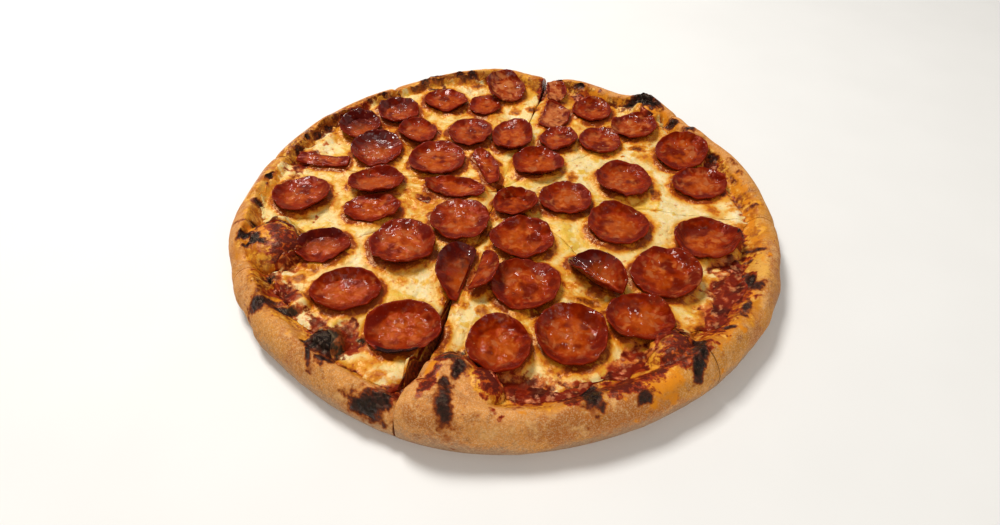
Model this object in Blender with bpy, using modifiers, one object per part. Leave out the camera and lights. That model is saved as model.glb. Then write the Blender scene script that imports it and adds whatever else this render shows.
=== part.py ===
"""A whole spicy sausage pizza, baked and cut into eight slices that still lie together.

Each slice is a wedge of bread base with its raised crust, and a blanket of melted cheese on it.
Slices of cured sausage, curled up into cups by the oven, lie on the cheese. Lengths in the named
values are millimetres and angles are degrees, anticlockwise from +X. +Y points away from the
viewer and +Z up. The pizza stands on z = 0 with its middle over the origin.
"""

import math

import bmesh
import bpy
import numpy as np
from mathutils import Matrix, Vector
from mathutils.bvhtree import BVHTree

MM = 0.001
GAP = 0.3  # between pieces that touch

# The round of dough, and the bulges and flats of its hand-stretched edge. Each rise or dip round the
# edge is (direction from the middle, size, half-width), and some are on one slice alone.
PIZZA_RADIUS = 148.0
EDGE_SWELLS = (
    (-98, 2, 18),
    (-35, 2, 22),
    (28, -7, 7),
    (57, -5, 9),
    (79, -4, 7),
    (197, 2, 20),
)

# The raised crust: height over the table, width from the edge to the cheese, and how both vary
CRUST_HEIGHT = 20.0
CRUST_HEIGHT_SWELLS = (
    (-103, 6, 8, 7),
    (-106, -2, 10, 6),
    (-70, 2, 20),
    (79, -4, 6, 2),
    (95, 3, 12, 3),
    (192, 3, 9),
)
CRUST_WIDTH = 16.0
CRUST_WIDTH_SWELLS = (
    (-104, 20, 9, 7),
    (-65, 7, 25),
    (-25, 6, 20),
    (15, 3, 15),
    (130, -2, 20),
    (225, 3, 20),
)
SHOULDER = 9.0  # from the edge in to the highest line of the crust
BULGE_AT = 0.42  # height of the widest line, as a share of the crust's height
# Air bubbles that rose in the crust: (x, y, radius, rise)
BUBBLES = (
    (-128, -30, 15, 7),
    (94, 96, 14, 7),
    (84, -104, 13, 5),
    (-24, -120, 15, 5),
    (-118, -66, 12, 4),
    (122, 62, 12, 4),
)

# The flat bread under the cheese, and the melted cheese
BASE_THICKNESS = 7.0
CHEESE_EDGE_HEIGHT = 12.0  # of the crust where the cheese ends on its slope
CRUST_RUN_OUT = 7.0  # how far in under the cheese the crust's slope ends
CHEESE_THICKNESS = 5.0
CHEESE_LIP = 1.2  # at its outer edge
CHEESE_THINNING = 6.0  # how far in from its edge it reaches its thickness
LUMP_LENGTH = 30.0
LUMP_HEIGHT = 0.7
LUMP_WAVES = 6

# Four straight cuts that cross off the middle: the slices between them run anticlockwise
CUT_CENTRE = (-3.0, 17.0)
CUT_ANGLES = (-13.5, 30.5, 74.5, 125.5, 170.5, 210.5, 254.5, 305.5)
CUT_OPENINGS = (0.15, 0.15, 0.9, 0.15, 0.3, 0.15, 2.2, 0.15)  # extra angle that a cut gapes by
SLICE_NUDGE = 1.1  # how far each slice has slid out along its middle
TIP_RADIUS = 1.8
COLUMNS = 12  # steps across a slice
CHEESE_RINGS = (1.0, 0.955, 0.88, 0.78, 0.65, 0.5, 0.34, 0.18)  # shares of the way out to the cheese's edge
CRUST_OUTER_STEPS = 6
CRUST_INNER_STEPS = 3

# Sausage slices
SAUSAGE_THICKNESS = 1.8
SAUSAGE_SIDES = 14
SAUSAGE_RINGS = (0.62, 1.0)
CUP_HEIGHT = 3.4
FOLD_RADIUS = 4.0
STEEPEST_REST = 0.6  # slope of the steepest slice
# For each pizza slice: (x, y, width, depth, and what is special about it). "turn" turns the oval,
# "cup" is the height of the curled rim, "cuts" are straight edges (direction, distance from the
# middle), "fold" is a crease (direction, rise of each side), "lean" is a standing piece (direction
# of the raised side, angle).
SAUSAGE = (
    (
        (109, 47, 32, 31, {}),
        (69, 19, 34, 34, {}),
        (114, 17, 32, 27, {"cup": 2.5}),
        (34, 2, 30, 29, {"cup": 3.0}),
    ),
    (
        (35, 121, 17, 24, {"cuts": ((180, 5),), "cup": 2.0}),
        (31, 92, 25, 29, {"cuts": ((165, 6),), "cup": 2.5}),
        (59, 98, 27, 26, {}),
        (84, 77, 29, 26, {}),
        (34.5, 63, 25, 26, {"cup": 3.0}),
        (60.5, 61, 27, 29, {"cup": 2.5}),
        (20, 37, 32, 29, {}),
    ),
    (
        (-14, 105, 21, 27, {"cup": 1.5}),
        (-41, 110, 30, 27, {}),
        (0, 124, 28, 31, {}),
        (-23, 71, 29, 33, {}),
        (5, 66, 26, 37, {}),
        (-12, 34, 15, 34, {"turn": 15, "cuts": ((200, 4),), "cup": 2.0}),
    ),
    (
        (-72, 96, 28, 28, {}),
        (-95, 77, 27, 30, {}),
        (-57, 72, 25, 30, {}),
        (-81, 51, 32, 33, {}),
        (-42, 41, 35, 35, {}),
        (-112, 40, 33, 24, {"cuts": ((262, 5), (82, 5)), "cup": 2.0}),
    ),
    (
        (-117, 5, 32, 33, {}),
        (-75, -6, 32, 24, {"cup": 1.8}),
        (-76, 17, 33, 28, {"cup": 3.0}),
        (-30, 13, 37, 18, {"turn": -12, "cup": 3.0}),
        (-97, -37, 29, 24, {"turn": 12, "cup": 3.0}),
    ),
    (
        (-26, -16, 33, 35, {}),
        (-55, -36, 35, 36, {}),
        (-79, -69, 36, 26, {"cup": 3.0}),
        (-48, -93, 36, 32, {}),
        (-23, -57, 28, 38, {"cuts": ((-15, 3),), "lean": (165, 42), "cup": 2.0}),
    ),
    (
        (9, -65, 35, 34, {}),
        (8, -32, 34, 31, {}),
        (-13, -58, 22, 28, {"cuts": ((165, 2),), "lean": (-15, 45), "cup": 1.5}),
        (-4, -103, 30, 32, {}),
        (29, -97, 35, 35, {}),
        (62, -87, 33, 29, {}),
        (5, -3, 26, 25, {"cup": 4.0}),
        (45, -59, 37, 29, {"turn": -53, "fold": (-53, 38), "cup": 1.5}),
    ),
    (
        (61, -20, 34, 33, {}),
        (107, -32, 36, 32, {"cup": 4.0}),
        (80, -57, 34, 35, {}),
    ),
)

CRUST_COLOUR = "C98A46"
CHEESE_COLOUR = "EBCB7A"
SAUSAGE_COLOUR = "8A2A16"


def direction(degrees):
    return np.array((math.cos(math.radians(degrees)), math.sin(math.radians(degrees))))


def swell(angles, swells, slice_number):
    """The sum of the rises and dips at these angles, in radians, on this slice."""
    total = np.zeros_like(angles)
    for centre, size, half_width, *only in swells:
        if only and slice_number not in only:
            continue
        away = (np.degrees(angles) - centre + 180) % 360 - 180
        total += size * np.exp(-((away / half_width) ** 2))
    return total


def edge_distance(angle, slice_number):
    """How far the edge is from where the cuts cross, and its direction from the pizza's middle."""
    heading = np.stack((np.cos(angle), np.sin(angle)), axis=-1)
    along = heading @ np.array(CUT_CENTRE)
    across = np.dot(CUT_CENTRE, CUT_CENTRE) - along**2
    around = angle
    for _ in range(5):
        radius = PIZZA_RADIUS + swell(around, EDGE_SWELLS, slice_number)
        distance = np.sqrt(radius**2 - across) - along
        point = np.array(CUT_CENTRE) + heading * distance[..., None]
        around = np.arctan2(point[..., 1], point[..., 0])
    return distance, around


def lumps(x, y, seed):
    """Soft relief between about -1 and 1: a few waves in seeded directions."""
    draw = np.random.default_rng(seed)
    total = 0
    for _ in range(LUMP_WAVES):
        heading, phase = draw.uniform(0, 2 * np.pi, 2)
        length = LUMP_LENGTH * draw.uniform(0.7, 1.5)
        total = total + np.cos((x * np.cos(heading) + y * np.sin(heading)) * 2 * np.pi / length + phase)
    return total * 2 / LUMP_WAVES


def bubble_rise(x, y):
    total = 0
    for at_x, at_y, radius, rise in BUBBLES:
        total = total + rise * np.exp(-((x - at_x) ** 2 + (y - at_y) ** 2) / radius**2 * 1.6)
    return total


def crust_section(height, width, distance):
    """The raised crust's side and top, as (distance out, height), from its foot to the cheese's edge."""
    foot = math.asin(-BULGE_AT / (1 - BULGE_AT))
    turn = np.linspace(foot, math.pi / 2, CRUST_OUTER_STEPS)
    outer = np.stack(
        (
            distance - SHOULDER * (1 - np.cos(turn)),
            height * (BULGE_AT + (1 - BULGE_AT) * np.sin(turn)),
        ),
        axis=-1,
    )
    share = np.linspace(0, 1, CRUST_INNER_STEPS + 1)[1:-1]
    inner = np.stack(
        (
            distance - SHOULDER - (width - SHOULDER) * share,
            CHEESE_EDGE_HEIGHT + (height - CHEESE_EDGE_HEIGHT) * (1 + np.cos(np.pi * share)) / 2,
        ),
        axis=-1,
    )
    return np.concatenate((outer, inner))


def bread_top(x, y, past_edge):
    """Height of the bread under the cheese, this far in from the cheese's edge."""
    slope = (CHEESE_EDGE_HEIGHT - BASE_THICKNESS) * np.exp(-((past_edge / CRUST_RUN_OUT) ** 2))
    level = 1 - np.exp(-past_edge / CRUST_RUN_OUT)
    return BASE_THICKNESS + slope + 0.4 * LUMP_HEIGHT * lumps(x, y, 3) * level + bubble_rise(x, y)


def cheese_depth(x, y, past_edge):
    level = 1 - np.exp(-past_edge / CHEESE_THINNING)
    return CHEESE_LIP + (CHEESE_THICKNESS - CHEESE_LIP + LUMP_HEIGHT * lumps(x, y, 8)) * level


def slice_sections(low, high, slice_number):
    """Upright sections of one slice, side to side: the bread's outline and the cheese's."""
    bread_rows, cheese_rows = [], []
    for angle in np.radians(np.linspace(low, high, COLUMNS + 1)):
        heading = np.array((math.cos(angle), math.sin(angle)))
        distance, around = (float(value) for value in edge_distance(np.array(angle), slice_number))
        height = CRUST_HEIGHT + float(swell(np.array(around), CRUST_HEIGHT_SWELLS, slice_number))
        width = CRUST_WIDTH + float(swell(np.array(around), CRUST_WIDTH_SWELLS, slice_number))
        side = crust_section(height, width, distance)
        cheese_edge = distance - width
        rings = np.append(np.array(CHEESE_RINGS) * cheese_edge, TIP_RADIUS)

        def place(out):
            at = np.array(CUT_CENTRE) + heading * np.asarray(out)[..., None]
            return at[..., 0], at[..., 1]

        x, y = place(side[:, 0])
        side[:, 1] += bubble_rise(x, y) * np.clip(side[:, 1] / height * 1.6 - 0.6, 0, 1)
        x, y = place(rings)
        past_edge = cheese_edge - rings
        floor = bread_top(x, y, past_edge)
        top = floor + GAP + cheese_depth(x, y, past_edge)
        bottom = [(TIP_RADIUS, 0), (cheese_edge / 2, 0)]
        bread = np.concatenate((side, np.stack((rings, floor), axis=-1), bottom))
        under = np.stack((rings, floor + GAP), axis=-1)
        over = np.stack((rings, top), axis=-1)[::-1]
        for rows, section in ((bread_rows, bread), (cheese_rows, np.concatenate((under, over)))):
            rows.append([(heading[0] * out, heading[1] * out, z) for out, z in section])
    return bread_rows, cheese_rows


def loft(name, rows):
    """A closed skin over a row of like sections: both ends are flat, and its diagonals all run one way."""
    mesh = bmesh.new()
    rings = [[mesh.verts.new(Vector(point) * MM) for point in row] for row in rows]
    count = len(rings[0])
    for near, far in zip(rings, rings[1:]):
        for i in range(count):
            j = (i + 1) % count
            mesh.faces.new((near[i], far[i], far[j]))
            mesh.faces.new((near[i], far[j], near[j]))
    mesh.faces.new(rings[0])
    mesh.faces.new(rings[-1])
    bmesh.ops.recalc_face_normals(mesh, faces=mesh.faces)
    data = bpy.data.meshes.new(name)
    mesh.to_mesh(data)
    mesh.free()
    return data


def sausage_sheet(name, width, depth, turn=0, cup=CUP_HEIGHT, cuts=(), fold=None, lean=None):
    """The underside of one sausage slice as an open sheet: an oval cup, cut, folded or stood up."""
    around = np.linspace(0, 2 * np.pi, SAUSAGE_SIDES, endpoint=False)
    oval = np.stack((np.cos(around) * width / 2, np.sin(around) * depth / 2), axis=-1)
    spin = np.array((direction(turn), direction(turn + 90)))
    oval = oval @ spin
    reach = np.ones(SAUSAGE_SIDES)
    for heading, far in cuts:
        out = oval @ direction(heading)
        reach = np.where(out > far, np.minimum(reach, far / np.maximum(out, far)), reach)
    points = [(0.0, 0.0, 0.0)]
    for ring in SAUSAGE_RINGS:
        share = ring * reach
        points += [(x * s, y * s, cup * s**4) for (x, y), s in zip(oval, share)]
    points = np.array(points)
    if fold:
        points = folded(points, *fold)
    mesh = bmesh.new()
    verts = [mesh.verts.new(point * MM) for point in points]
    for i in range(SAUSAGE_SIDES):
        j = (i + 1) % SAUSAGE_SIDES
        inner, outer = 1, 1 + SAUSAGE_SIDES
        mesh.faces.new((verts[0], verts[inner + i], verts[inner + j]))
        mesh.faces.new((verts[inner + i], verts[outer + i], verts[outer + j], verts[inner + j]))
    data = bpy.data.meshes.new(name)
    if lean:
        heading, rise = lean
        hinge = Vector((*direction(heading + 90), 0))
        stand = Matrix.Rotation(-math.radians(rise), 3, hinge)
        bmesh.ops.rotate(mesh, verts=mesh.verts, cent=(0, 0, 0), matrix=stand)
    mesh.to_mesh(data)
    mesh.free()
    return data


def folded(points, heading, rise):
    """Both sides of a crease through the middle, along heading, bent up round a small radius."""
    along, across = direction(heading), direction(heading + 90)
    run = points[:, :2] @ along
    side = points[:, :2] @ across
    most = math.radians(rise)
    bend = np.minimum(np.abs(side) / FOLD_RADIUS, most)
    rest = np.abs(side) - bend * FOLD_RADIUS
    radius = FOLD_RADIUS - points[:, 2]
    out = np.sign(side) * (radius * np.sin(bend) + rest * np.cos(bend))
    up = FOLD_RADIUS - radius * np.cos(bend) + rest * np.sin(bend)
    return np.column_stack((run[:, None] * along + out[:, None] * across, up))


def material(name, colour, roughness):
    made = bpy.data.materials.new(name)
    made.use_nodes = True
    shader = made.node_tree.nodes["Principled BSDF"]
    channels = [int(colour[i : i + 2], 16) / 255 for i in (0, 2, 4)]
    linear = [c / 12.92 if c <= 0.04045 else ((c + 0.055) / 1.055) ** 2.4 for c in channels]
    shader.inputs["Base Color"].default_value = (*linear, 1)
    shader.inputs["Roughness"].default_value = roughness
    return made


def add_piece(data, parent, collection, colour, roughness):
    piece = bpy.data.objects.new(data.name, data)
    piece.parent = parent
    collection.objects.link(piece)
    data.materials.append(material(data.name, colour, roughness))
    data.shade_smooth()
    data.set_sharp_from_angle(angle=math.radians(50))
    return piece


def add_empty(name, parent, collection, x=0.0, y=0.0):
    empty = bpy.data.objects.new(name, None)
    empty.empty_display_size = 20 * MM
    empty.parent = parent
    empty.location = (x * MM, y * MM, 0)
    collection.objects.link(empty)
    return empty


def solid_in_world(piece):
    """Corners and triangles of a piece as it lies, with its modifiers."""
    bpy.context.view_layer.update()
    seen = piece.evaluated_get(bpy.context.evaluated_depsgraph_get())
    mesh = seen.to_mesh()
    mesh.calc_loop_triangles()
    points = [piece.matrix_world @ vertex.co for vertex in mesh.vertices]
    faces = [tuple(triangle.vertices) for triangle in mesh.loop_triangles]
    seen.to_mesh_clear()
    return points, faces


class Pile:
    """What already lies on the table, for the next piece to rest on."""

    def __init__(self):
        self.trees, self.points = [], []

    def add(self, piece):
        points, faces = solid_in_world(piece)
        self.trees.append(BVHTree.FromPolygons(points, faces))
        self.points.extend(points)

    def height(self, x, y):
        hits = (tree.ray_cast(Vector((x, y, 1)), Vector((0, 0, -1)))[0] for tree in self.trees)
        return max((hit.z for hit in hits if hit), default=0.0)

    def clearance(self, piece):
        """The least upright distance between the piece and what is under it, corner to face both ways."""
        points, faces = solid_in_world(piece)
        own = BVHTree.FromPolygons(points, faces)
        middles = [(points[a] + points[b]) / 2 for a, b, c in faces]
        least = min(point.z - self.height(point.x, point.y) for point in points + middles)
        for point in self.points:
            hit = own.ray_cast(Vector((point.x, point.y, -1)), Vector((0, 0, 1)))[0]
            if hit:
                least = min(least, hit.z - point.z)
        return least


def rest(piece, pile, x, y):
    """Lay a sausage slice down at x, y, tilted as it comes to rest, just clear of what is under it.

    Of all the slopes it could have, it takes the one that lets its middle sink lowest.
    """
    corners = [vertex.co for vertex in piece.data.vertices]
    own = BVHTree.FromPolygons(corners, [tuple(face.vertices) for face in piece.data.polygons])
    reach = max(co.xy.length for co in corners)
    contacts = [(co.x, co.y, pile.height(x + co.x, y + co.y) - co.z) for co in corners]
    for point in pile.points:
        near = Vector((point.x - x, point.y - y))
        if near.length < reach and point.z + 0.5 * MM > pile.height(point.x, point.y):
            hit = own.ray_cast(Vector((near.x, near.y, -1)), Vector((0, 0, 1)))[0]
            if hit:
                contacts.append((near.x, near.y, point.z - hit.z))
    contacts = np.array(contacts)

    def lowest(slope):
        return np.max(contacts[:, 2] - contacts[:, :2] @ slope)

    slope, step = np.zeros(2), 0.2
    while step > 0.002:
        tries = [slope + step * direction(angle) for angle in range(0, 360, 30)]
        tries = [t for t in tries if np.linalg.norm(t) < STEEPEST_REST]
        best = min(tries, key=lowest, default=slope)
        if lowest(best) < lowest(slope) - 1e-9:
            slope = best
        else:
            step /= 2
    up = Vector((-slope[0], -slope[1], 1)).normalized()
    piece.rotation_euler = Vector((0, 0, 1)).rotation_difference(up).to_euler()
    home = piece.parent.matrix_world.translation
    piece.location = Vector((x, y, lowest(slope) + GAP * MM)) - home
    piece.location.z += GAP * MM - pile.clearance(piece)


def main():
    for old in list(bpy.data.objects):
        bpy.data.objects.remove(old)
    collection = bpy.data.collections.new("pizza")
    bpy.context.scene.collection.children.link(collection)
    pizza = add_empty("pizza", None, collection)
    pile = Pile()
    slices = []
    turns = [*CUT_ANGLES, CUT_ANGLES[0] + 360]
    gapes = [*CUT_OPENINGS, CUT_OPENINGS[0]]
    for i in range(len(CUT_ANGLES)):
        low, high = turns[i] + gapes[i] / 2, turns[i + 1] - gapes[i + 1] / 2
        tip = np.array(CUT_CENTRE) + direction((low + high) / 2) * SLICE_NUDGE
        wedge = add_empty(f"slice_{i + 1}", pizza, collection, *tip)
        bread, cheese = slice_sections(low, high, i + 1)
        for piece in (
            add_piece(loft(f"crust_{i + 1}", bread), wedge, collection, CRUST_COLOUR, 0.8),
            add_piece(loft(f"cheese_{i + 1}", cheese), wedge, collection, CHEESE_COLOUR, 0.45),
        ):
            bpy.context.view_layer.update()
            pile.add(piece)
        slices.append(wedge)
    number = 0
    for wedge, toppings in zip(slices, SAUSAGE):
        for x, y, width, depth, special in toppings:
            number += 1
            sheet = sausage_sheet(f"sausage_{number:02d}", width, depth, **special)
            piece = add_piece(sheet, wedge, collection, SAUSAGE_COLOUR, 0.35)
            thicken = piece.modifiers.new("thickness", "SOLIDIFY")
            thicken.thickness = SAUSAGE_THICKNESS * MM
            thicken.offset = 1
            rest(piece, pile, x * MM, y * MM)
            pile.add(piece)


main()
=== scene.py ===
"""A spicy sausage pizza fresh from the oven, cut into eight slices that still lie together.

Lengths in the named values are millimetres and angles are degrees, anticlockwise from +X. +Y points
away from the viewer and +Z up, and the pizza stands on z = 0 with its middle over the origin.
"""

import math

import bpy
import numpy as np
from mathutils.bvhtree import BVHTree
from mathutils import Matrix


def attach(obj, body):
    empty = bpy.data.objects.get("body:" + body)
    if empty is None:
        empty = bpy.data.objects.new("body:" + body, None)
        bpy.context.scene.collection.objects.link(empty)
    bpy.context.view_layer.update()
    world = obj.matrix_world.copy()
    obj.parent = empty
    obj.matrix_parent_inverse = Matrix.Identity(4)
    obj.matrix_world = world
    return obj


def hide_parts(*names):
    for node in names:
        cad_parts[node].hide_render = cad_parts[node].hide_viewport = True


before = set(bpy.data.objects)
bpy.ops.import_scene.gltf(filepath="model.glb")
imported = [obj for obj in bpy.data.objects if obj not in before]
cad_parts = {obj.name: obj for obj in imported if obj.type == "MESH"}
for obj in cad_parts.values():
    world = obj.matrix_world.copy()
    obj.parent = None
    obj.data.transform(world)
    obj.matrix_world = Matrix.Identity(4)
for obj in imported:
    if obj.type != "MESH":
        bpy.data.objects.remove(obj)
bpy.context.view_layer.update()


# Bread: the wheat dough base with its raised rim, one piece for each of the eight slices. The rim is
# dry and floury outside and oily inside, blistered and burnt where bubbles rose. Each slice is a block
# of rows across it, outwards and upwards, whose section follows the dough from tip to foot.

MM = 0.001
PIZZA_RADIUS = 148.0
# Rises and dips round the edge: (direction, size, half-width), and the one slice that has it, if any
EDGE_SWELLS = (
    (-98, 2, 18),
    (-35, 2, 22),
    (28, -7, 7),
    (57, -5, 9),
    (79, -4, 7),
    (197, 2, 20),
)
CRUST_HEIGHT = 20.0
CRUST_HEIGHT_SWELLS = (
    (-103, 6, 8, 7),
    (-106, -2, 10, 6),
    (-70, 2, 20),
    (79, -4, 6, 2),
    (95, 3, 12, 3),
    (192, 3, 9),
)
CRUST_WIDTH = 16.0
CRUST_WIDTH_SWELLS = (
    (-104, 20, 9, 7),
    (-65, 7, 25),
    (-25, 6, 20),
    (15, 3, 15),
    (130, -2, 20),
    (225, 3, 20),
)
SHOULDER = 9.0  # from the edge in to the highest line of the crust
BULGE_AT = 0.42  # height of the widest line, as a share of the crust's height
# Air bubbles that rose in the crust: (x, y, radius, rise)
BUBBLES = (
    (-128, -30, 15, 7),
    (94, 96, 14, 7),
    (84, -104, 13, 5),
    (-24, -120, 15, 5),
    (-118, -66, 12, 4),
    (122, 62, 12, 4),
)
BASE_THICKNESS = 7.0
CHEESE_EDGE_HEIGHT = 12.0  # of the crust where the cheese ends on its slope
CRUST_RUN_OUT = 7.0  # how far in under the cheese the crust's slope ends

CUT_CENTRE = np.array((-3.0, 17.0))
CUT_ANGLES = (-13.5, 30.5, 74.5, 125.5, 170.5, 210.5, 254.5, 305.5)
CUT_OPENINGS = (0.15, 0.15, 0.9, 0.15, 0.3, 0.15, 2.2, 0.15)  # extra angle that a cut gapes by
CUT_SHUT_HEIGHTS = (9, 9, 18, 9, 9, 9, 9, 9)  # over which it goes from shut at the table to open
# The walls of this cut are painted dark, as shade in the narrow slit
BAKED_SHUT_CUT = 2  # the one at the back that melted together again
# The dark red of its walls is sauce with painted shade in the gap
GAPING_CUT = 6  # the one at the front, whose walls are sunk and red with sauce
# How the wheel pressed the dough down beside a cut: (depth, width), near it and further off
CUT_PRESSES = ((1.1, 1.6), (0.7, 5))
SLICE_NUDGE = 1.1  # outwards from where the cuts cross
TIP_RADIUS = 1.8
HAIRLINE_CLOSING = 0.36  # how far each side of a closed cut has crept back over it
BASE_GAP = 0.12  # left on each side of a cut at the table, where the bread still holds together
ROUGH_CUT = 0.12  # how far the wheel tore the edges to and fro
# Where a cut gapes or closes: (cut, side, mm outwards over the cut, distance out, half-length)
CUT_BULGES = (
    (2, 0, 0.4, 40, 30),
    (2, 1, 0.4, 40, 30),
    (2, 0, -0.45, 112, 18),
    (2, 1, -0.45, 112, 18),
    (4, 0, 0.15, 60, 60),
    (4, 1, 0.15, 60, 60),
    (6, 0, 1.5, 68, 30),
    (6, 1, 1.5, 68, 30),
    (6, 0, -1.6, 118, 18),
    (6, 1, -1.9, 118, 18),
    (6, 0, 2.7, 162, 18),
    (6, 1, 2.6, 162, 16),
)

# Mesh of a slice: columns across it, then rings under the topping, up the rim's slope and down its
# outer face, and layers upwards
COLUMNS = 144
HIDDEN_RINGS = 24
SLOPE_RINGS = 20
OUTER_RINGS = 36
BREAD_LAYERS = 6
CREST = HIDDEN_RINGS + SLOPE_RINGS

# Domes of blown-up dough that stand into the topping: (x, y, radius, height of foot, rise)
DOMES = (
    (-125, -38, 18, 12, 12),
    (-27, -121, 15, 12, 10),
    (-15, -127, 12, 13, 8),
    (76, -107, 13.5, 12, 8),
    (-103, -77, 8, 12, 3),
    (97, 94, 12, 14, 9),
    (-82, -102, 8.5, 13, 6.5),
)
# Where no cheese or sauce covers the bread: (x, y, length, width, turn)
BARE = (
    (-119, -37, 28, 27, 80),
    (-21, -116, 38, 20, -32),
    (77, -107, 24, 24, 0),
    (98, 93, 18, 18, 0),
    (-83, -104, 14, 16, 0),
)
# Burnt spots: (x, y, length, width, turn), and a strength where it isn't 1
CHARS = (
    (-138, 18, 9, 3, 78),
    (-125, 59, 4, 2.5, 50),
    (-128, 48, 11, 5, 65, 0.75),
    (-120, 65, 11, 4, 62, 0.7),
    (-114, 73, 10, 4, 50, 0.7),
    (-104, 88, 9, 4, 45, 0.6),
    (-83, 111, 8, 3, 35, 0.7),
    (-92, 103, 6, 3, 40, 0.7),
    (-57, 126, 9, 6, 20, 0.8),
    (-50, 132, 10, 2.5, 14, 0.7),
    (-43, 127, 3, 6, 10),
    (-50, 124, 8, 2, 0),
    (-32, 135, 8, 3, 8, 0.7),
    (-23, 136, 8, 4, 0, 0.75),
    (-26, -112, 12, 3.5, 10, 0.85),
    (-17, 131, 9, 4, 0, 0.7),
    (39, 140, 7, 3, -15),
    (38, 131, 6, 4, -10),
    (54, 125, 8, 3, -25),
    (86, 99, 13, 9, -30, 1.1),
    (94, 98, 18, 10, -40, 1.15),
    (110, 78, 6, 5, -50),
    (117, 64, 9, 4, -55, 0.85),
    (127, 42, 9, 4, -64, 0.8),
    (136, 32, 7, 3, -70, 0.48),
    (138, 22, 5, 4, -80, 0.48),
    (134, 18, 7, 3, -80, 0.48),
    (132, 3, 7, 4, 10, 0.48),
    (133, -2, 3, 6, -5, 0.48),
    (137, -8, 6, 2.5, -10, 0.48),
    (-138, -6, 6, 5, 0),
    (-126, -22, 10, 6, 15, 0.9),
    (-129, -27, 15, 3.5, 8, 0.8),
    (-118, -31, 10, 3.5, -45, 0.7),
    (-121, -38, 6, 3, 60, 0.5),
    (-134, -25, 6, 3.5, 0),
    (-135, -39, 7, 5, 20),
    (-129, -41, 10, 5, 85, 1.1),
    (-132, -45, 7, 2.5, 5),
    (-125, -43, 6, 3, -30),
    (-117, -61, 7, 7, 0),
    (-116, -82, 17, 8, 28, 0.95),
    (-104, -83, 12, 5, -5),
    (-82, -103, 16, 17, 0, 1.25),
    (-87, -111, 13, 3.5, 95),
    (-90, -103, 4, 3, 0),
    (-80, -113, 8, 5, 0),
    (-75, -106, 5, 6, 0),
    (-58, -136, 16, 16, 0, 1.1),
    (-50, -132, 7, 5, 40),
    (-54, -98, 19, 4, 5),
    (-28, -105, 12, 3, 8),
    (-28, -127, 8, 4, 85),
    (-22, -119, 12, 6, 75),
    (-26, -142, 19, 7, 95),
    (34, -131, 17, 9, 80, 1.2),
    (80, -97, 8, 3, -35, 0.75),
    (71, -101, 9, 5, 40, 0.5),
    (77, -113, 9, 6, -30, 0.5),
    (85, -104, 9, 3.5, -70),
    (84.5, -111, 10, 5, -85, 1.15),
    (81.5, -118.5, 11, 6, -108, 1.2),
    (76, -106, 22, 20, 0, 0.28),
    (57, -134, 6, 5, 0),
    (100, -96, 5, 3, 0),
    (120, -64, 12, 5, 72),
    (112, -83, 10, 5, 55, 0.9),
    (129, -42, 11, 3.5, -28, 0.75),
    (120, -69, 9, 6, 0, 0.85),
    (124, -49, 6, 4, 0, 0.7),
    (118, -47, 5, 4, 0, 0.8),
)
# Stretches of the rim that baked more golden: (direction, strength, half-width)
GOLDEN = (
    (-48, 1.0, 26),
    (-5, 0.9, 25),
    (-75, 0.5, 12),
    (-140, 0.5, 18),
)
# Bare dough that fried to a bright golden orange: (x, y, length, width, turn)
FRIED = (
    (101, 87, 19, 14, -50),
    (-130, -32, 14, 14, 0),
    (-109, -76, 8, 6, 0),
    (-48, 128, 6, 5, 0),
    (136, -2, 5, 5, 0),
    (131, -35, 8, 11, 0),
    (116, 8, 20, 11, -80),
    (133, -18, 26, 7, 86),
    (134, 14, 20, 6, -82),
    (-34, -119, 16, 5, 75),
    (12, -132, 28, 6, -8),
    (66, -128, 24, 12, 22),
    (97, -96, 18, 9, 48),
    (114, -74, 18, 7, 62),
    (66, 113, 14, 6, -30),
    (-97, 88, 18, 6, 45),
)
# Where fat ran further up the rim, or less: (direction, strength, half-width, slice)
OILY = (
    (172, 1.1, 22),
    (128, 0.35, 25),
    (85, 0.6, 40),
    (205, 0.4, 14),
    (-5, 0.35, 22),
    (-40, 0.35, 14),
    (-104, -1.1, 9, 7),
    (-62, 0.3, 14),
)
# Where the rim's inner slope is baked dark: (direction, strength, half-width)
BROWNED = (
    (60, 0.7, 25),
    (20, 0.7, 16),
    (152, 0.8, 13),
    (130, 0.85, 14),
    (104, 0.6, 12),
    (-40, 0.5, 12),
    (213, 0.6, 13),
    (-85, 0.3, 12),
)
# Where a skin of cheese reaches up that slope: (direction, strength, half-width)
CHEESY = (
    (98, 0.5, 10),
    (172, 0.8, 15),
    (-28, 0.6, 9),
)
# Tomato sauce that baked on to the rim or shows past the cheese: (x, y, length, width, turn)
SAUCE_SPOTS = (
    (-113, -43, 26, 14, 70),
    (-119, -33, 15, 10, -30),
    (-48, 6, 10, 5, -35),
    (-12, -50, 12, 6, 60),
    (-107, -71, 22, 11, -40),
    (-74, -98, 22, 15, -45),
    (-89, -90, 9, 9, 0),
    (-70, -104, 8, 8, -30),
    (-48, -128, 20, 7, 30),
    (-34, -126, 26, 5, 76),
    (-27, -112, 22, 7, 5),
    (-12, -112, 22, 14, -25),
    (6, -124, 36, 15, -12),
    (-8, -122, 22, 15, -65),
    (26, -131, 20, 11, 0),
    (49, -127, 22, 13, 5),
    (73, -112, 14, 16, 40),
    (79, -104, 15, 12, -20),
    (57, -106, 12, 8, 20),
    (52, -115, 16, 8, 10),
    (65, -119, 13, 8, 30),
    (110, -68, 36, 17, 66),
    (97, -88, 16, 12, 50),
    (126, -30, 14, 6, 75),
    (116, -50, 16, 12, -40),
    (126, 12, 14, 6, -80),
    (28, 128, 22, 4, 76),
    (55, 118, 18, 7, -25),
    (-123, 40, 20, 8, 68),
    (-100, 92, 22, 6, 48),
    (126, 30, 20, 7, -75),
)


def direction(degrees):
    return np.array((math.cos(math.radians(degrees)), math.sin(math.radians(degrees))))


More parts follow.
